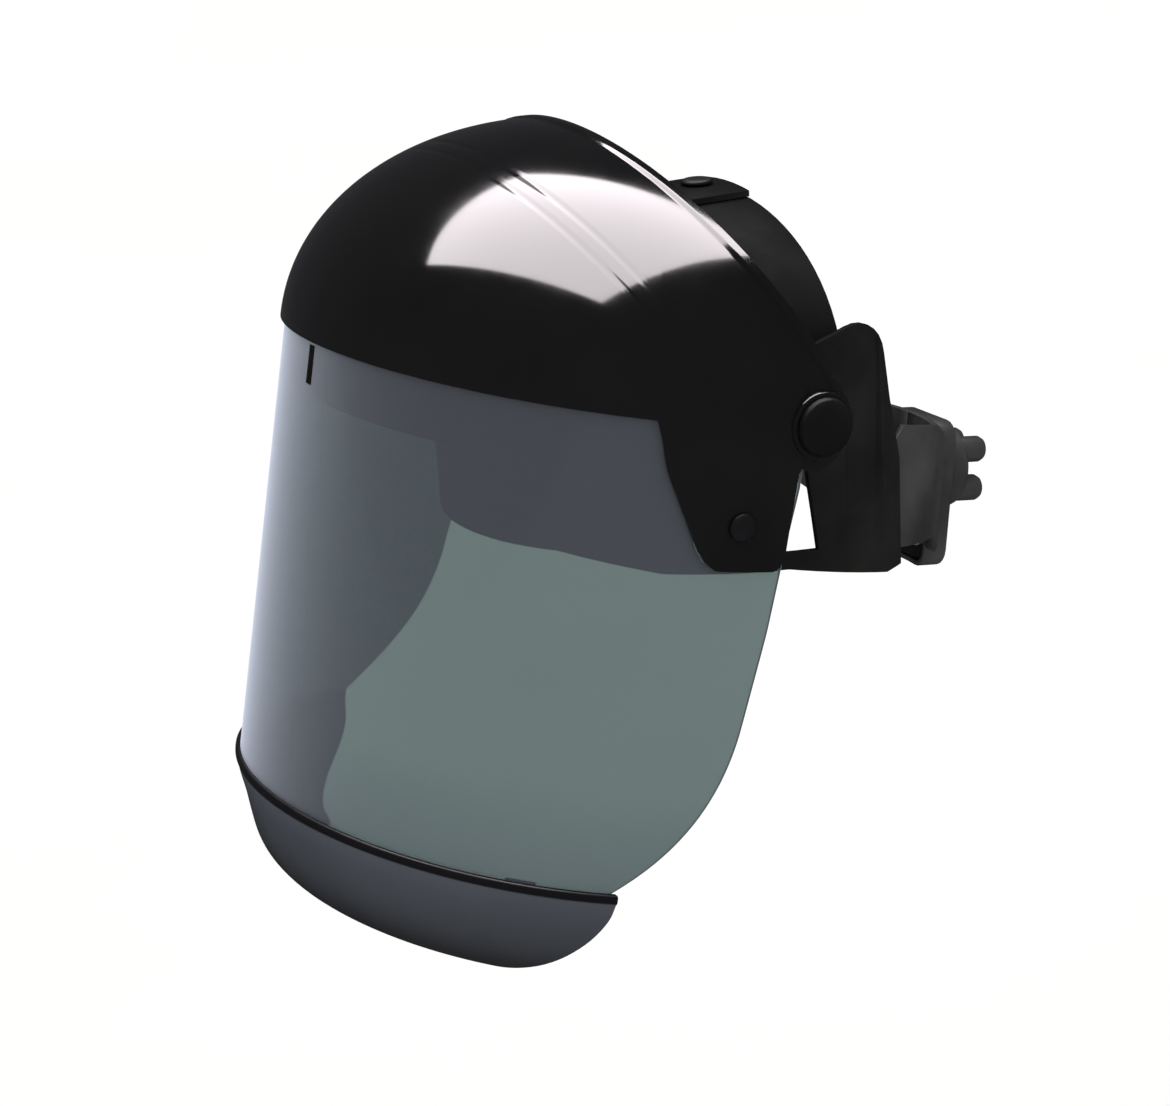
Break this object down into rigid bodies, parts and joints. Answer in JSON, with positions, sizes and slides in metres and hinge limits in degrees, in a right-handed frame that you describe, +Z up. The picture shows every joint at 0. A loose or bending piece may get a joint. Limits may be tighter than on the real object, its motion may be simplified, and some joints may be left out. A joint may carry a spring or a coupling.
{
  "type": "face shield",
  "caption": "Industrial face shield with a glossy crown, tinted wrap-round window and chin guard, tilting on side pivots of a ratchet headgear.",
  "frame": {"origin": "middle of the headband ring, where the head sits", "axes": "+Z up, the wearer faces -Y, +X is the wearer's left"},
  "size_m": [0.2474, 0.287, 0.2591],
  "materials": {
    "crown_gloss": "high gloss moulded",
    "window_tint": "clear tinted sheet",
    "black_satin": "satin moulded",
    "guard_grey": "semi gloss moulded",
    "nylon_dark": "fine grained",
    "brow_foam": "soft sweatband",
    "nape_foam": "soft pad",
    "steel": "zinc plated"
  },
  "bodies": {
    "headgear": {"headband": "nylon_dark", "brow_pad": "brow_foam", "pivot_post_left": "nylon_dark", "pivot_post_right": "nylon_dark", "pivot_pin_left": "black_satin", "pivot_pin_right": "black_satin", "pivot_nut_left": "steel", "pivot_nut_right": "steel"},
    "shield": {"crown_shell": "crown_gloss", "visor_window": "window_tint", "brow_rail": "black_satin", "chin_guard": "guard_grey", "front_clip": "black_satin", "visor_stud_left": "black_satin", "visor_stud_right": "black_satin", "chin_clip_front": "black_satin", "chin_clip_left": "black_satin", "chin_clip_right": "black_satin", "pivot_washer_left": "nylon_dark", "pivot_washer_right": "nylon_dark"},
    "overhead_strap": {"strap_left": "nylon_dark", "strap_right": "nylon_dark", "strap_button": "black_satin"},
    "rear_yoke": {"nape_band_left": "nylon_dark", "nape_band_right": "nylon_dark", "nape_pad": "nape_foam", "ratchet_housing": "black_satin", "housing_cover": "nylon_dark", "detent_spring": "steel", "cover_screw_left": "steel", "cover_screw_right": "steel"},
    "knob": {"ratchet_knob": "black_satin", "pinion": "nylon_dark", "knob_screw": "steel"}
  },
  "joints": [
    {"name": "shield_tilt", "type": "hinge", "parent": "headgear", "child": "shield", "pos_m": [0, -0.016, 0.036], "axis": [-1, 0, 0], "range_deg": [0, 85]},
    {"name": "strap_height", "type": "slide", "parent": "headgear", "child": "overhead_strap", "axis": [0, 0, 1], "range_m": [-0.006, 0.01]},
    {"name": "band_takeup", "type": "slide", "parent": "headgear", "child": "rear_yoke", "axis": [0, -1, 0], "range_m": [0, 0.01]},
    {"name": "knob_turn", "type": "hinge", "parent": "rear_yoke", "child": "knob", "pos_m": [0, 0.0883, -0.024], "axis": [0, 0.9903, -0.1392], "range_deg": [0, 360]}
  ],
  "couplings": [
    {"joint": "knob_turn", "follows": "band_takeup", "rad_per_m": 628.3}
  ]
}
